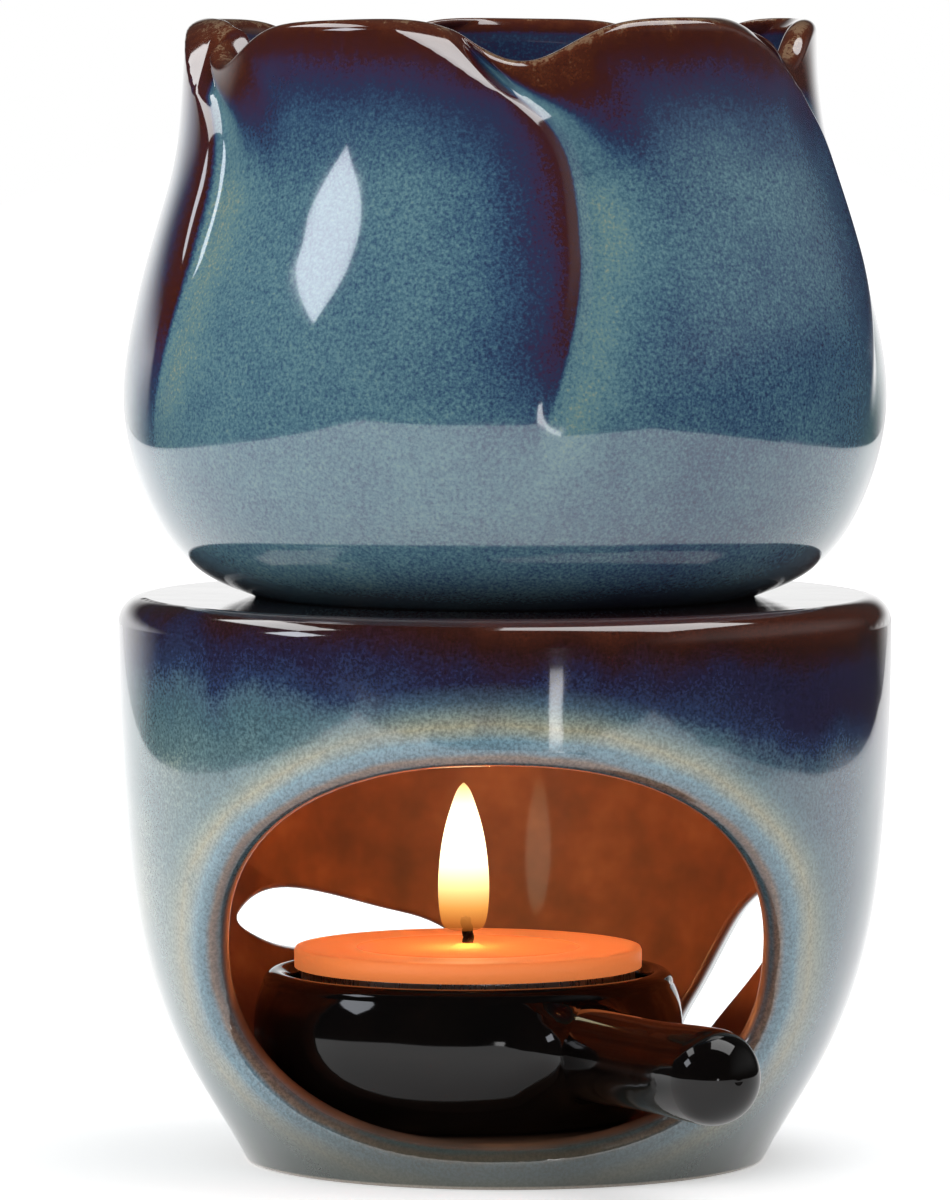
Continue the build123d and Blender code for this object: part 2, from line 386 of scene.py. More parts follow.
# Grains and waviness of the glazes
speck_size = 0.36
cloud_size = 9.0
wave_size = 9.0
wave_depth = 0.12
glaze_roughness = 0.09

# How specks, clouds and runs weigh in the bowl's glaze: specks by its streaks, clouds by its thickness
speck_weights = (0.80, 0.18)
cloud_thicknesses = (0.06, 0.28)
cloud_weights = (0.05, 0.22)
run_size = 1.6
run_weight = 0.20


def specks_and_clouds(shader, place):
    """Fine specks and soft clouds of a reactive glaze, each about 0."""
    specks = shader.noise(place, speck_size, detail=3.0, roughness=0.65)
    clouds = shader.noise(place, cloud_size, detail=3.0, roughness=0.6)
    return specks, clouds


def glaze_surface(shader, place, color, roughness=glaze_roughness, coat=1.0):
    """A thick glossy glaze over a colour, with a faint waviness."""
    waves = shader.noise(place, wave_size, detail=1.0)
    return shader.principled(
        Base_Color=color,
        Roughness=roughness,
        IOR=1.6,
        Coat_Weight=coat,
        Coat_Roughness=0.04,
        Coat_IOR=1.6,
        Normal=shader.bump(waves, wave_depth),
    )


def bowl_glaze():
    """Reactive glaze of the tulip bowl, after the thickness held in the mesh."""
    shader = Shader("bowl_glaze")
    place = shader.place()
    thickness = shader.node("ShaderNodeAttribute", attribute_name="glaze").outputs["Fac"]
    streak = shader.node("ShaderNodeAttribute", attribute_name="streak").outputs["Fac"]
    specks, clouds = specks_and_clouds(shader, place)
    runs = shader.noise(place, run_size, detail=3.0, roughness=0.6, stretch=(1, 1, 0.12))
    speck_weight = shader.between(streak, *speck_weights)
    cloud_weight = shader.rise(thickness, *cloud_thicknesses, *cloud_weights)
    share = shader.add(thickness, specks, speck_weight)
    share = shader.add(share, clouds, cloud_weight)
    share = shader.add(share, shader.times(runs, streak), run_weight)
    return glaze_surface(shader, place, shader.ramp(share, glaze_stops)[0])


# Heights and depths at which the stand's finish changes, and what it changes to
inner_face_depths = (1.6, 3.2)
inner_floor_heights = (stand_floor - 2.0, stand_floor - 0.5)
inner_top_heights = (stand_height - 1.0, stand_height - stand_top + 1.0)
inside_roughness = 0.59
inside_coat = 0.5
# Painted shade: the stand's colour darkens towards its foot, between these heights, by this share, to this
# colour
foot_shade_heights = (13.0, 1.0)
foot_shade_share = 0.85
foot_shade_color = (0.046, 0.052, 0.036, 1)
bare_clay_heights = (0.5, 0.25)
clay_colors = ((0.40, 0.33, 0.26, 1), (0.55, 0.48, 0.40, 1))
speck_lights = (0.65, 1.35)


def stand_inside_share(shader, x, y, z):
    """1 on the stand's inner faces and 0 on its outer ones."""
    points = [(height / stand_height, r / stand_radius) for height, r in stand_outline]
    outline = shader.curve(shader.math("DIVIDE", z, stand_height), points)
    depth = shader.math("SUBTRACT", shader.times(outline, stand_radius), shader.length(x, y))
    inside = shader.rise(depth, *inner_face_depths)
    above = shader.rise(z, *inner_floor_heights)
    below = shader.rise(z, *inner_top_heights)
    return shader.times(inside, above, below)


def opening_distance(shader, x, z):
    """Distance outwards from the edge of the front opening, seen from the front."""
    offsets = shader.math("SUBTRACT", x, opening_offset), shader.math("SUBTRACT", z, opening_rise)
    powers = []
    for offset, half_size in zip(offsets, (opening_half_width, opening_half_height)):
        share = shader.math("ABSOLUTE", shader.math("DIVIDE", offset, half_size))
        powers.append(shader.math("POWER", share, opening_power))
    share = shader.math("POWER", shader.add(*powers), 1 / opening_power)
    reach = shader.length(*offsets)
    return shader.math("SUBTRACT", reach, shader.math("DIVIDE", reach, share))


# Bands of glaze round the front opening, by the distance from its edge as a share of their reach
band_reach = 10.0
band_waver = 1.2
band_top_heights = (36, 46)
band_top_shift = 0.7
band_front_depths = (0, -6)
band_whole_distances = (4.6, 3.4)
band_broken_clouds = (-0.20, 0.06)
band_broken_shares = (0.65, 1.0)
band_stops = (
    (0.00, (0.05, 0.075, 0.085, 1.0)),
    (0.09, (0.06, 0.10, 0.12, 1.0)),
    (0.14, (0.15, 0.095, 0.075, 1.0)),
    (0.19, (0.20, 0.135, 0.10, 1.0)),
    (0.25, (0.14, 0.23, 0.29, 0.9)),
    (0.37, (0.18, 0.31, 0.38, 0.9)),
    (0.45, (0.28, 0.33, 0.30, 1.0)),
    (0.54, (0.36, 0.35, 0.25, 1.0)),
    (0.66, (0.25, 0.31, 0.27, 0.8)),
    (0.80, (0.14, 0.24, 0.27, 0.4)),
    (1.00, (0.10, 0.20, 0.24, 0.0)),
)


def opening_bands(shader, x, y, z, clouds):
    """Colour of the bands round the front opening, and their share."""
    distance = shader.add(opening_distance(shader, x, z), clouds, band_waver)
    distance = shader.add(distance, shader.rise(z, *band_top_heights), band_top_shift)
    color, alpha = shader.ramp(shader.math("DIVIDE", distance, band_reach), band_stops)
    front = shader.rise(y, *band_front_depths)
    broken = shader.rise(clouds, *band_broken_clouds, *band_broken_shares)
    broken = shader.math("MAXIMUM", broken, shader.rise(distance, *band_whole_distances))
    return color, shader.times(alpha, front, broken)


# Runs of the stand's glaze: its thickness by the depth under the shoulder, as a share of their length
run_length = 20.0
run_thicknesses = (
    (0.0, 0.05),
    (0.06, 0.16),
    (0.12, 0.29),
    (0.21, 0.40),
    (0.38, 0.51),
    (0.53, 0.64),
    (0.66, 0.77),
    (1.0, 0.86),
)
run_lead_left = 1.6
run_lag_middle = 3.4
run_lag_right = 1.2
run_middle_sides = (-26, 2)
run_right_sides = (14, 38)
drip_size = 7.0
drip_reach = 5.5
speck_weight_on_stand = 0.26
cloud_weight_on_stand = 0.26
# Painted shade: the glaze is made thinner, so darker, towards the right side and towards the foot
right_painted_shade = 0.20
right_painted_shade_sides = (12, 40)
foot_painted_shade = 0.20
foot_painted_shade_heights = (36, 8)
painted_shade_thicknesses = (0.38, 0.62)


def stand_thickness(shader, place, x, z, specks, clouds):
    """Thickness of the stand's glaze, from about 0 on the shoulder to about 1 low down.

    Its runs lead at the left and lag towards the right, and drips move them up and down. Towards the
    right side and towards the foot it is made thinner, so darker, as painted shade.
    """
    drips = shader.noise(place, drip_size, detail=2.0, roughness=0.5, stretch=(1, 1, 0.25))
    depth = shader.math("SUBTRACT", stand_height + run_lead_left, z)
    depth = shader.add(depth, drips, -drip_reach)
    depth = shader.add(depth, shader.rise(x, *run_middle_sides), -run_lag_middle)
    depth = shader.add(depth, shader.rise(x, *run_right_sides), -run_lag_right)
    thickness = shader.curve(shader.math("DIVIDE", depth, run_length), run_thicknesses)
    thickness = shader.add(thickness, specks, speck_weight_on_stand)
    thickness = shader.add(thickness, clouds, cloud_weight_on_stand)
    # Painted shade: thinner glaze, so a darker colour, towards the foot and the right side
    thinner = shader.times(shader.rise(z, *foot_painted_shade_heights), foot_painted_shade)
    thinner = shader.add(thinner, shader.rise(x, *right_painted_shade_sides), right_painted_shade)
    thinner = shader.times(thinner, shader.rise(thickness, *painted_shade_thicknesses))
    return shader.math("SUBTRACT", thickness, thinner)


def inside_rust(shader, place, clouds):
    """Rust glaze inside the stand, run down in sheets."""
    sheets = shader.noise(place, grain=9.0, detail=2.0, roughness=0.5, stretch=(1, 1, 0.35))
    share = shader.add(shader.add(0.45, sheets, weight=0.8), clouds, weight=1.4)
    stops = ((0.0, (0.09, 0.020, 0.007)), (0.5, (0.24, 0.064, 0.019)), (1.0, (0.44, 0.16, 0.055)))
    return shader.ramp(share, stops)[0]


def stand_glaze():
    """Reactive glaze of the stand: rust shoulder, navy runs, pale sides, banded opening, rust inside,
    with painted shade towards the foot and the right side.
    """
    shader = Shader("stand_glaze")
    place = shader.place()
    x, y, z = shader.parts(place)
    specks, clouds = specks_and_clouds(shader, place)
    color = shader.ramp(stand_thickness(shader, place, x, z, specks, clouds), stand_stops)[0]
    bands, bands_share = opening_bands(shader, x, y, z, clouds)
    color = shader.mix(bands_share, color, bands)
    light = shader.rise(specks, -0.2, 0.2, *speck_lights)
    color = shader.node("ShaderNodeHueSaturation", {"Color": color, "Value": light}).outputs[0]
    inside = stand_inside_share(shader, x, y, z)
    color = shader.mix(inside, color, inside_rust(shader, place, clouds))
    # Painted shade towards the foot
    foot = shader.times(shader.rise(z, *foot_shade_heights), foot_shade_share)
    color = shader.mix(foot, color, foot_shade_color)
    clay = shader.mix(shader.rise(specks, -0.3, 0.3), *clay_colors)
    color = shader.mix(shader.rise(z, *bare_clay_heights), color, clay)
    roughness = shader.between(inside, glaze_roughness, inside_roughness)
    coat = shader.between(inside, 1.0, inside_coat)
    return glaze_surface(shader, place, color, roughness, coat)


def dish_glaze():
    """Glossy black glaze of the candle dish, a little brown where it is thin."""
    shader = Shader("dish_glaze")
    place = shader.place()
    clouds = shader.noise(place, grain=6.0, detail=3.0, roughness=0.6)
    specks = shader.noise(place, grain=0.5, detail=2.0, roughness=0.6)
    share = shader.add(shader.add(0.4, specks, weight=0.6), clouds, weight=1.2)
    stops = ((0.0, (0.0012, 0.0010, 0.0010)), (0.6, (0.003, 0.002, 0.0017)), (1.0, (0.010, 0.006, 0.004)))
    waves = shader.noise(place, wave_size, detail=1.0)
    return shader.principled(
        Base_Color=shader.ramp(share, stops)[0],
        Roughness=0.06,
        IOR=1.45,
        Normal=shader.bump(waves, distance=0.08),
    )


def cup_metal():
    """Thin bright aluminium with drawing lines."""
    shader = Shader("cup_metal")
    lines = shader.noise(shader.place(), grain=0.5, detail=3.0, roughness=0.6, stretch=(1, 1, 0.1))
    stops = ((0.0, (0.50, 0.50, 0.51)), (1.0, (0.66, 0.66, 0.67)))
    return shader.principled(
        Base_Color=shader.ramp(shader.add(0.5, lines), stops)[0],
        Metallic=1.0,
        Roughness=shader.add(0.28, lines, weight=0.15),
        Normal=shader.bump(lines, distance=0.02),
    )


def sustainer_metal():
    """Thin tinned sheet of the wick's holder."""
    shader = Shader("sustainer_metal")
    spots = shader.noise(shader.place(), grain=0.8, detail=3.0, roughness=0.6)
    stops = ((0.0, (0.42, 0.42, 0.41)), (1.0, (0.62, 0.61, 0.59)))
    return shader.principled(
        Base_Color=shader.ramp(shader.add(0.5, spots), stops)[0],
        Metallic=1.0,
        Roughness=shader.add(0.35, spots, weight=0.2),
    )


# Radii at which the wax's look changes, at the melted pool's edge and at the run, and what it changes to
melted_radii = (11.0, 15.0)
wax_roughnesses = (0.16, 0.46)
wax_run_radii = (18.9, 19.6)
wax_run_color = (0.72, 0.15, 0.03, 1)
# Painted light: the wax glows, standing in for the flame's light shining through it, and glows more on the
# run down the cup's side
painted_wax_glow_color = (1.0, 0.28, 0.085, 1)
painted_wax_glow_levels = (0.33, 0.50)


def wax_finish():
    """Soft salmon-orange wax, glossy where it has melted round the wick, with a painted glow for the
    flame's light through it, brighter on the run.
    """
    shader = Shader("wax")
    place = shader.place()
    x, y = shader.parts(place)[:2]
    radius = shader.length(shader.math("SUBTRACT", x, dish_side), shader.math("SUBTRACT", y, dish_back))
    clouds = shader.noise(place, grain=7.0, detail=3.0, roughness=0.6)
    grains = shader.noise(place, grain=0.6, detail=3.0, roughness=0.6)
    share = shader.add(shader.add(0.5, clouds, weight=0.7), grains, weight=0.25)
    stops = ((0.0, (0.72, 0.22, 0.08)), (0.5, (0.82, 0.28, 0.11)), (1.0, (0.90, 0.36, 0.16)))
    run = shader.rise(radius, *wax_run_radii)
    return shader.principled(
        Base_Color=shader.mix(run, shader.ramp(share, stops)[0], wax_run_color),
        Roughness=shader.rise(radius, *melted_radii, *wax_roughnesses),
        IOR=1.44,
        # Painted light: a glow for the flame's light through the wax
        Emission_Color=painted_wax_glow_color,
        Emission_Strength=shader.between(run, *painted_wax_glow_levels),
        Subsurface_Weight=0.35,
        Subsurface_Radius=(1.0, 0.45, 0.2),
        Subsurface_Scale=3 * mm,
        Normal=shader.bump(shader.add(clouds, grains), distance=0.05),
    )


def wick_cotton():
    """Cotton braid, pale at its root and charred black towards its tip."""
    shader = Shader("wick_cotton")
    place = shader.place()
    fibres = shader.noise(place, grain=0.18, detail=3.0, roughness=0.7, stretch=(1, 1, 0.4))
    height = shader.add(shader.parts(place)[2], fibres, weight=1.2)
    stops = (
        (0.0, (0.12, 0.07, 0.04)),
        (0.3, (0.01, 0.006, 0.004)),
        (0.6, (0.0016, 0.0012, 0.001)),
        (1.0, (0.003, 0.001, 0.001)),
    )
    return shader.principled(
        Base_Color=shader.ramp(shader.rise(height, wax_top, wick_tip), stops)[0],
        Roughness=0.9,
        Specular_IOR_Level=0.05,
        Normal=shader.bump(fibres, distance=0.08),
    )


# Look of the flame, by the height as a share of its own
flame_strength = 2.2
flame_stops = (
    (0.00, (1.0, 0.24, 0.03)),
    (0.16, (1.0, 0.42, 0.09)),
    (0.34, (1.0, 0.72, 0.30)),
    (0.55, (1.0, 0.92, 0.66)),
    (0.85, (1.0, 0.90, 0.55)),
    (1.00, (1.0, 0.66, 0.22)),
)
flame_powers = ((0.0, 0.25), (0.2, 0.55), (0.5, 1.0), (0.9, 0.85), (1.0, 0.6))
flame_solidities = ((0.0, 0.25), (0.12, 0.7), (0.3, 0.95), (0.8, 0.95), (1.0, 0.6))


def flame_finish():
    """Light of the flame: orange at its foot, yellow above it and white in its middle."""
    shader = Shader("flame")
    above_foot = shader.math("SUBTRACT", shader.parts(shader.place())[2], flame_foot)
    share = shader.math("DIVIDE", above_foot, flame_tip - flame_foot)
    color = shader.ramp(share, flame_stops)[0]
    strength = shader.times(shader.curve(share, flame_powers), flame_strength)
    glow = shader.node("ShaderNodeEmission", {"Color": color, "Strength": strength})
    clear = shader.node("ShaderNodeBsdfTransparent")
    solid = shader.curve(share, flame_solidities)
    mixed = shader.node("ShaderNodeMixShader", {0: solid, 1: clear.outputs[0], 2: glow.outputs[0]})
    return shader.surface(mixed.outputs[0])


def smooth_rise(value, low, high):
    """0 up to one value, 1 from the other on, and a smooth rise between, for arrays."""
    share = np.clip((value - low) / (high - low), 0.0, 1.0)
    return share * share * (3 - 2 * share)


def through(value, points):
    """A function of straight lines through points, for arrays."""
    return np.interp(value, *zip(*points))


def spline(points, places):
    """Points at shares of the way along a natural cubic spline, spaced by chord length."""
    points = np.array(points, float)
    chords = np.linalg.norm(np.diff(points, axis=0), axis=1)
    knots = np.concatenate([[0], np.cumsum(chords)]) / chords.sum()
    gaps = np.diff(knots)
    count = len(points)
    matrix = np.eye(count)
    right = np.zeros_like(points)
    for i in range(1, count - 1):
        matrix[i, i - 1 : i + 2] = gaps[i - 1], 2 * (gaps[i - 1] + gaps[i]), gaps[i]
        right[i] = 6 * ((points[i + 1] - points[i]) / gaps[i] - (points[i] - points[i - 1]) / gaps[i - 1])
    bends = np.linalg.solve(matrix, right)
    spans = np.clip(np.searchsorted(knots, places, side="right") - 1, 0, count - 2)
    gap = gaps[spans][:, None]
    after = (places - knots[spans])[:, None]
    before = gap - after
    low, high = bends[spans], bends[spans + 1]
    start = points[spans] / gap - low * gap / 6
    end = points[spans + 1] / gap - high * gap / 6
    return start * before + end * after + (low * before**3 + high * after**3) / (6 * gap)


def linked(name, data):
    """A new object of the scene that shows some data."""
    made = bpy.data.objects.new(name, data)
    bpy.context.scene.collection.objects.link(made)
    return made


def grid_mesh(name, rows, first_pole, last_pole, attributes=None):
    """A mesh of rings, one ring a row, with its ends closed by poles. Lengths are in millimetres."""
    ring_count, column_count = rows.shape[:2]
    points = np.vstack([rows.reshape(-1, 3), first_pole, last_pole])
    columns = np.arange(column_count)
    after = (columns + 1) % column_count
    faces = []
    for ring in range(ring_count - 1):
        low, high = ring * column_count, (ring + 1) * column_count
        faces += np.stack([low + columns, low + after, high + after, high + columns], axis=1).tolist()
    last = (ring_count - 1) * column_count
    poles = np.full(column_count, len(points) - 2)
    faces += np.stack([poles, after, columns], axis=1).tolist()
    faces += np.stack([poles + 1, last + columns, last + after], axis=1).tolist()
    mesh = bpy.data.meshes.new(name)
    mesh.from_pydata((points * mm).tolist(), [], faces)
    for key, values in (attributes or {}).items():
        held = mesh.attributes.new(key, "FLOAT", "POINT")
        spare = np.zeros(len(points) - values.size)
        held.data.foreach_set("value", np.concatenate([values.reshape(-1), spare]).astype(np.float32))
    mesh.polygons.foreach_set("use_smooth", [True] * len(mesh.polygons))
    mesh.update()
    return linked(name, mesh)


def by_petal(values):
    """A value of each petal, repeated at each of its columns."""
    return np.repeat(values, petal_column_count)


def petal_angles():
    """Azimuth of each column, and its angles from the petal edges on its two sides."""
    edges = np.radians(petal_edge_angles)
    widths = by_petal((np.roll(edges, -1) - edges) % math.tau)
    shares = np.tile(np.arange(petal_column_count) / petal_column_count, len(edges))
    shares = shares - column_crowding_share * np.sin(math.tau * shares) / math.tau
    return by_petal(edges) + widths * shares, widths * shares, widths * (1 - shares)


def petal_wave(past, before, half_fold):
    """1 on the free edge of a petal and -1 in the groove beside it."""
    middle = -np.cos(math.pi * (past - half_fold) / (past + before - 2 * half_fold))
    wave = np.where(past < half_fold, -np.sin(math.pi / 2 * past / half_fold), middle)
    return np.where(before < half_fold, np.sin(math.pi / 2 * before / half_fold), wave)


def edge_turn(height_share):
    """How far a petal's free edge is turned back from its furthest place at a height."""
    above = (height_share - petal_edge_height_share) / (1 - petal_edge_height_share)
    if above > 0:
        return -math.radians(petal_rim_angle) * above**petal_rim_turn_power
    below = (petal_edge_height_share - height_share) / petal_edge_height_share
    return -math.radians(petal_foot_angle) * below**petal_foot_turn_power


def rim_dip(azimuth):
    """How far the notches take the rim below the petals' tips at each azimuth."""
    dip = np.zeros_like(azimuth)
    for edge_angle, spread_angle in zip(petal_edge_angles, rim_notch_spread_angles):
        apart = (azimuth - math.radians(edge_angle + rim_notch_angle) + math.pi) % math.tau - math.pi
        dip += np.exp(-((apart / math.radians(spread_angle)) ** 2))
    return rim_notch * dip


def bowl_profile():
    """Radius and height of each ring, from the seat up the outside, over the rim and down inside.

    The second value is the number of rings before the inside starts.
    """
    outline = [(bowl_radius * r, (bowl_height - rim_thickness / 2) * z) for z, r in bowl_outline_shares]
    outside = spline(outline, np.linspace(0, 1, outside_ring_count))
    shares = np.linspace(1, 0, inside_ring_count)
    line = spline(outline, shares)
    run = np.gradient(line, axis=0)
    run /= -np.linalg.norm(run, axis=1)[:, None]
    depth = (bowl_wall + (rim_thickness - bowl_wall) * shares**2)[:, None]
    inside = line + depth * np.stack([-run[:, 1], run[:, 0]], axis=1)
    inside = inside[inside[:, 1] > bowl_floor]
    turn = math.pi * np.arange(1, rim_ring_count + 1) / (rim_ring_count + 1)
    rim = outside[-1] + rim_thickness / 2 * np.stack([np.cos(turn) - 1, np.sin(turn)], axis=1)
    floor_radii = np.linspace(inside[-1][0], 0, floor_ring_count + 1)[1:-1]
    floor = np.stack([floor_radii, np.full_like(floor_radii, bowl_floor)], axis=1)
    corner = spigot_edge * (1 - math.sqrt(0.5))
    seat = np.array(
        [
            (spigot_radius - spigot_edge, -spigot_length),
            (spigot_radius - corner, corner - spigot_length),
            (spigot_radius, spigot_edge - spigot_length),
            (spigot_radius, 0),
        ]
    )
    rings = np.vstack([seat, outside, rim, inside, floor])
    return rings, len(seat) + len(outside) + len(rim)


def glaze_thickness(height_share, rim_depth, edge_side, run_share):
    """Thickness of the bowl's glaze from 0 to 1, and how far it has run in streaks.

    The glaze thins to rust at the rim and at each petal's free edge, and pools pale in the groove
    beside it. edge_side is the distance round to the nearest free edge, below 0 on its petal.
    """
    from_rim = through(rim_depth, glaze_by_rim_depth)
    near_notch = smooth_rise(edge_side, *notch_start_sides) * smooth_rise(edge_side, *notch_end_sides)
    thinner = from_rim - notch_thinning * near_notch * smooth_rise(rim_depth, *notch_depths)
    from_rim = np.maximum(thinner, np.minimum(from_rim, notch_thinning_floor))
    loss = run_share * through(edge_side, glaze_loss_by_edge)
    loss = loss * smooth_rise(height_share, *petal_glaze_shares)
    squeeze = 1 + pool_squeeze * smooth_rise(rim_depth, *pool_squeeze_depths)
    squeezed = edge_side * np.where(edge_side > 0, squeeze, 1)
    pool = through(squeezed, glaze_pool_by_edge) * smooth_rise(height_share, *pool_shares)
    near_rim = np.clip(1 - rim_depth / rim_glaze_depth, 0, 1)
    thickness = np.minimum(glaze_base + loss, from_rim + rim_loss_share * loss * (1 - near_rim))
    pooled = smooth_rise(pool, 0, glaze_pool_most) * smooth_rise(rim_depth, *pool_rim_depths)
    thickness = thickness + (glaze_pool_base - thickness) * pooled * (thickness < glaze_pool_base)
    streak = np.clip(near_rim + np.abs(loss) + pool, 0, 1)
    return np.clip(thickness + pool, 0, 1), streak


def share_of_height(height):
    """A height above the bowl's seat as a share of the bowl's own, from 0 to 1."""
    return min(max(height / bowl_height, 0.0), 1.0)


def tulip_ring(radius, height, azimuth, wave, crown, edge_side):
    """Points of one ring of the bowl, with its steps, lips, hollows and waved rim."""
    height_share = share_of_height(height)
    wave_share = max(height_share - rim_wave_start_share, 0.0) / (1 - rim_wave_start_share)
    step = petal_step / 2 * smooth_rise(height_share, *step_fade_shares)
    reach = radius + step * (1 - (1 - rim_step_share) * wave_share) * wave
    crest = lip_depth * smooth_rise(edge_side, -lip_reach, 0) * smooth_rise(edge_side, petal_fold_width, 0)
    reach = reach - lip_lean * np.clip(crest - (bowl_height - height), 0, None)
    waist = smooth_rise(height_share, *hollow_rise_shares) * smooth_rise(height_share, *hollow_fall_shares)
    reach = reach - by_petal(petal_hollows) * crown * waist
    angle = azimuth + edge_turn(height_share)
    dip = rim_dip(angle) + by_petal(petal_drops) * crown
    rise = height - dip * wave_share**2
    return np.stack([reach * np.sin(angle), -reach * np.cos(angle), bowl_z + rise], axis=1)


def tulip_glaze(height, crown, edge_side, inside):
    """Thickness and streaks of the glaze at the points of one ring of the bowl."""
    height_share = share_of_height(height)
    rim_depth = (bowl_height - height) * (inside_depth_gain if inside else 1.0)
    thickness, streak = glaze_thickness(height_share, rim_depth, edge_side, by_petal(petal_run_shares))
    tone = by_petal(petal_tones) * smooth_rise(height_share, *petal_glaze_shares)
    foot_tone = by_petal(petal_foot_tones) * crown * smooth_rise(height_share, *foot_tone_shares)
    thickness = np.clip(thickness + tone + foot_tone, 0, 1)
    return np.minimum(inside_glaze_most, thickness) if inside else thickness, streak


def tulip():
    """The petalled bowl, ring by ring, with the glaze's thickness held at each point."""
    profile, inside_start = bowl_profile()
    azimuth, past, before = petal_angles()
    wave = petal_wave(past, before, petal_fold_width / 2 / bowl_radius)
    crown = np.sin(math.pi * past / (past + before)) ** 2
    edge_angle = np.where(past < before, past, -before)
    rows = []
    thicknesses = []
    streaks = []
    for index, (radius, height) in enumerate(profile):
        edge_side = edge_angle * radius
        rows.append(tulip_ring(radius, height, azimuth, wave, crown, edge_side))
        thickness, streak = tulip_glaze(height, crown, edge_side, index >= inside_start)
        thicknesses.append(thickness)
        streaks.append(streak)
    attributes = {"glaze": np.array(thicknesses), "streak": np.array(streaks)}
    first = (0, 0, bowl_z - spigot_length)
    last = (0, 0, bowl_z + bowl_floor)
    return grid_mesh("tulip", np.array(rows), first, last, attributes)


def lathe(name, profile, side, back, columns):
    """A turned piece from points of radius and height, about an upright line."""
    turns = math.tau * np.arange(columns) / columns
    rows = [
        np.stack([side + r * np.sin(turns), back - r * np.cos(turns), np.full_like(turns, z)], axis=1)
        for r, z in profile
    ]
    return grid_mesh(name, np.array(rows), (side, back, profile[0][1]), (side, back, profile[-1][1]))


def finish_with(piece, material):
    """Gives a piece its only material."""
    piece.data.materials.clear()
    piece.data.materials.append(material)
    return piece


def half_width(node):
    """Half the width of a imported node, in millimetres."""
    low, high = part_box(node)
    return (high.x - low.x) / 2 / mm


def wax_disc():
    """The wax: its melted pool, the soft ridge round it, the climb at the wick and the run outside."""
    radius = half_width("tealight_wax")
    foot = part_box("tealight_wax")[0].z / mm
    radii = radius * (1 - np.linspace(0, 1, wax_ring_count))
    melt_radius = melt_radius_share * radius
    ridge_radius = melt_radius + ridge_place_share * radius
    dip = melt_depth * smooth_rise(radii, melt_radius, melt_radius - melt_slope_share * radius)
    ridge = ridge_height * np.exp(-(((radii - ridge_radius) / (ridge_width_share * radius)) ** 2))
    climb = climb_height * np.exp(-(((radii - wick_radius) / climb_reach) ** 2))
    meniscus = meniscus_height * np.exp(-(radius - radii) / meniscus_reach)
    top = wax_top + wax_fill - dip + ridge + climb + meniscus
    brim = wax_top + brim_rise
    corner, bevel = wax_foot_edges
    block = [(radius - bevel, foot), (radius - corner, foot + corner), (radius, foot + bevel)]
    cup_radius = half_width("tealight_cup")
    inner = cup_radius + run_gap
    outer = inner + run_thickness
    run = [(radius, brim), (inner, brim), (inner, run_foot), (outer, run_foot)]
    bead = [(cup_radius + out, brim + up) for out, up in bead_cover]
    profile = block + run + bead + list(zip(radii[:-1], top[:-1]))
    return lathe("wax_disc", profile, dish_side, dish_back, wax_column_count)


def tube(name, points, radius):
    """A round tube along points, in millimetres, with its ends closed."""
    runs = np.gradient(points, axis=0)
    turns = np.arange(strand_side_count) * math.tau / strand_side_count
    rows = []
    side = Vector((1, 0, 0))
    for point, run in zip(points, runs):
        forward = Vector(run).normalized()
        side = (side - forward * side.dot(forward)).normalized()
        right, up = np.array(side), np.array(forward.cross(side))
        rows.append([point + radius * (right * math.cos(turn) + up * math.sin(turn)) for turn in turns])
    return grid_mesh(name, np.array(rows), points[0], points[-1])


def braided_wick():
    """Three strands twisted together, closing and leaning over at the charred tip."""
    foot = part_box("wick")[0].z / mm
    heights = np.linspace(foot, wick_tip - strand_end_drop, strand_point_count)
    near_tip = smooth_rise(heights, wick_tip - tip_length, wick_tip)
    spread = strand_spread - strand_tip_closing * near_tip
    middle = dish_side + tip_lean * near_tip
    strands = []
    for index in range(strand_count):
        turn = math.tau * (index / strand_count + heights / strand_pitch)
        across, back = middle + spread * np.cos(turn), dish_back + spread * np.sin(turn)
        points = np.stack([across, back, heights], axis=1)
        strands.append(tube(f"wick_strand_{index}", points, strand_radius))
    for strand in strands[1:]:
        strand.parent = strands[0]
    strands[0].name = "braided_wick"
    return strands


def flame():
    """The flame, a drop drawn out to a point."""
    line = spline(flame_outline, np.linspace(0, 1, flame_ring_count))
    flame_height = flame_tip - flame_foot
    profile = [(flame_radius * max(r, flame_least_share), flame_foot + flame_height * z) for r, z in line]
    return lathe("flame", profile, dish_side + flame_shift, dish_back, flame_column_count)


# Place that the lamps face, in metres
lamp_target = (0, 0, 0.06)


def softbox(name, direction, distance, width, height, radiance, roll=0.0):
    """A flat white lamp of an even radiance, turned to face the object. Lengths are in metres."""
    lamp = bpy.data.lights.new(name, "AREA")
    lamp.shape = "RECTANGLE"
    lamp.size = width
    lamp.size_y = height
    lamp.energy = radiance * math.pi * width * height
    held = linked(name, lamp)
    direction = Vector(direction).normalized()
    held.location = Vector(lamp_target) + direction * distance
    turn = (-direction).to_track_quat("-Z", "Y").to_euler()
    turn.rotate_axis("Z", math.radians(roll))
    held.rotation_euler = turn
    held.visible_camera = False
    return held


def candle_light():
    """The flame's own light, a small warm lamp that moves with the tealight."""
    lamp = bpy.data.lights.new("candle_light", "POINT")
    lamp.energy = candle_lamp_watts
    lamp.color = candle_lamp_color
    lamp.shadow_soft_size = candle_lamp_radius * mm
    held = linked("candle_light", lamp)
    held.location = (dish_side * mm, dish_back * mm, candle_lamp_z * mm)
    return held


# Table, in metres: its edges, the distances over which it turns pale, and its glow near and far off
table_sides = (-0.33, 0.33)
table_front = -0.36
table_back = 60.0
table_far_distances = (0.08, 0.6)
table_glow_seen = (0.41, 0.81)
table_glow_mirrored = (0.25, 0.42)
table_glow_right_loss = 0.18
table_right_sides_mm = (10, 150)


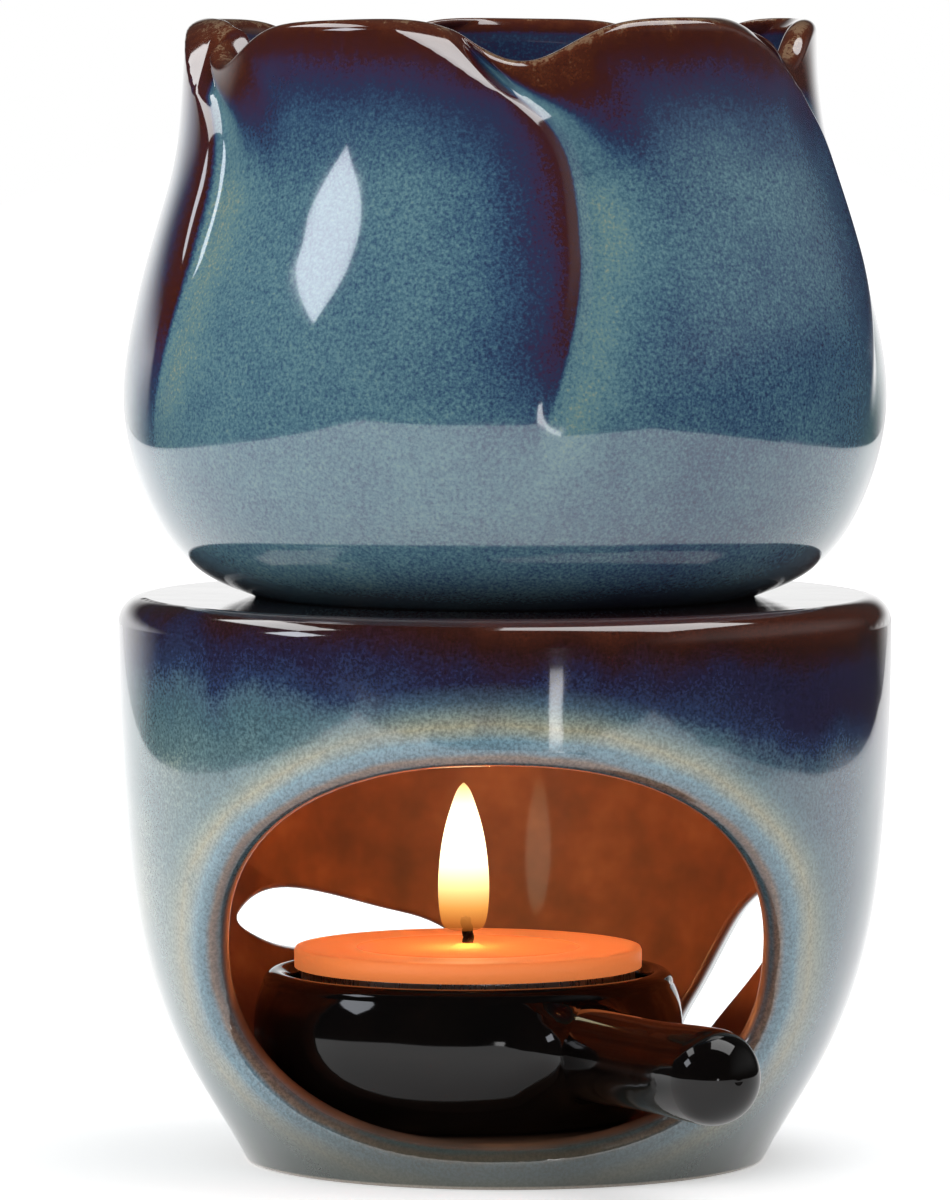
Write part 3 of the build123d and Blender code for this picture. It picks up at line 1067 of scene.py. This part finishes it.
def table_finish():
    """Pale paint with a soft glow of its own."""
    shader = Shader("table")
    ray = shader.node("ShaderNodeLightPath").outputs
    place = shader.place()
    grain = shader.noise(place, grain=40.0, detail=2.0)
    away = shader.node("ShaderNodeVectorMath", {0: place}, operation="LENGTH").outputs["Value"]
    far = shader.rise(away, *table_far_distances)
    right = shader.rise(shader.parts(place)[0], *table_right_sides_mm)
    seen = shader.times(ray["Is Camera Ray"], shader.between(far, *table_glow_seen))
    shade = shader.add(shader.between(far, *table_glow_mirrored), right, -table_glow_right_loss)
    stops = ((0.0, (0.78, 0.78, 0.78)), (1.0, (0.82, 0.82, 0.82)))
    paint = shader.node("ShaderNodeBsdfDiffuse", {"Color": shader.ramp(shader.add(0.5, grain), stops)[0]})
    glow = shader.node("ShaderNodeEmission", {"Strength": shader.add(seen, ray["Is Glossy Ray"], shade)})
    whole = shader.node("ShaderNodeAddShader", {0: paint.outputs[0], 1: glow.outputs[0]})
    return shader.surface(whole.outputs[0])


def table_top():
    """The pale table, with a front edge that the glazes reflect."""
    left, right = table_sides
    front_corners = [(left, table_front, 0), (right, table_front, 0)]
    back_corners = [(right, table_back, 0), (left, table_back, 0)]
    mesh = bpy.data.meshes.new("table")
    mesh.from_pydata(front_corners + back_corners, [], [(0, 1, 2, 3)])
    mesh.materials.append(table_finish())
    linked("table", mesh)


# Brightness of the studio round the object, by the direction from it, as the glazes mirror it
studio_left_lean = 0.18
studio_level_lean = 1.3
studio_behind_directions = (0.60, 0.95)
studio_behind_levels = (0.03, 1.0)
studio_beside_directions = (0.55, 0.95)
studio_beside_levels = (0.0, 0.20)
studio_above_directions = (0.0, 0.35)
studio_fill = 0.52
studio_seen = 1.0


def studio():
    """White behind and beside the object, dark in front of it, and an even fill."""
    shader = Shader("studio", world=True)
    ray = shader.node("ShaderNodeLightPath").outputs
    way = shader.node("ShaderNodeTexCoord").outputs["Generated"]
    x, y, z = shader.node("ShaderNodeSeparateXYZ", {0: way}).outputs
    backward = shader.add(y, x, -studio_left_lean)
    backward = shader.add(backward, shader.math("ABSOLUTE", z), -studio_level_lean)
    behind = shader.rise(backward, *studio_behind_directions, *studio_behind_levels)
    beside = shader.rise(x, *studio_beside_directions, *studio_beside_levels)
    above = shader.rise(z, *studio_above_directions)
    mirrored = shader.add(behind, beside, above)
    level = shader.mix(ray["Is Glossy Ray"], studio_fill, mirrored, "FLOAT")
    level = shader.mix(ray["Is Camera Ray"], level, studio_seen, "FLOAT")
    glow = shader.node("ShaderNodeBackground", {"Color": (1, 1, 1, 1), "Strength": level})
    bpy.context.scene.world = shader.surface(glow.outputs[0])


# Camera, from measures in the photograph's 950 by 1200 pixels, and in metres
photo_height_px = 1200
photo_middle_px = (475, 600)
axis_px = 505
horizon_px = 17
focal_px = 8800
camera_distance = 1.0
camera_height = 0.130
sensor_height = 36.0


def camera():
    """The camera at the photograph's viewing angle."""
    view = bpy.data.cameras.new("camera")
    view.sensor_fit = "VERTICAL"
    view.sensor_height = sensor_height
    view.lens = focal_px / photo_height_px * sensor_height
    held = linked("camera", view)
    side = -(axis_px - photo_middle_px[0]) / focal_px * camera_distance
    held.location = (side, -camera_distance, camera_height)
    pitch = math.atan2(photo_middle_px[1] - horizon_px, focal_px)
    held.rotation_euler = (math.pi / 2 - pitch, 0, 0)
    bpy.context.scene.camera = held


finish_with(nodes["stand"], stand_glaze())
finish_with(nodes["candle_dish"], dish_glaze())
finish_with(nodes["tealight_cup"], cup_metal())
finish_with(nodes["wick_sustainer"], sustainer_metal())

bowl = finish_with(tulip(), bowl_glaze())
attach(bowl, "bowl")
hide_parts("tulip_bowl")

wax = finish_with(wax_disc(), wax_finish())
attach(wax, "tealight")
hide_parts("tealight_wax")

strands = braided_wick()
cotton = wick_cotton()
for strand in strands:
    finish_with(strand, cotton)
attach(strands[0], "tealight")
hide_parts("wick")

fire = finish_with(flame(), flame_finish())
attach(fire, "tealight")
fire.visible_shadow = False
candle_light().parent = fire

table_top()
studio()

key = softbox("key", (-0.822, -0.309, 0.479), distance=1.2, width=0.26, height=0.31, radiance=5.0, roll=62)
key.data.color = (0.88, 0.92, 1.0)
softbox("top_left", (-0.63, 0.135, 0.77), distance=1.1, width=0.8, height=0.25, radiance=3.5)
softbox("top_right", (0.34, -0.02, 0.94), distance=1.1, width=0.72, height=0.8, radiance=3.4)
softbox("card", (0.24, -0.96, -0.15), distance=0.42, width=0.028, height=0.06, radiance=4.0)
fill = softbox("fill", (-0.65, -0.72, 0.30), distance=1.5, width=1.2, height=1.2, radiance=1.3)
fill.visible_glossy = False
camera()

bpy.context.scene.view_settings.view_transform = "Standard"
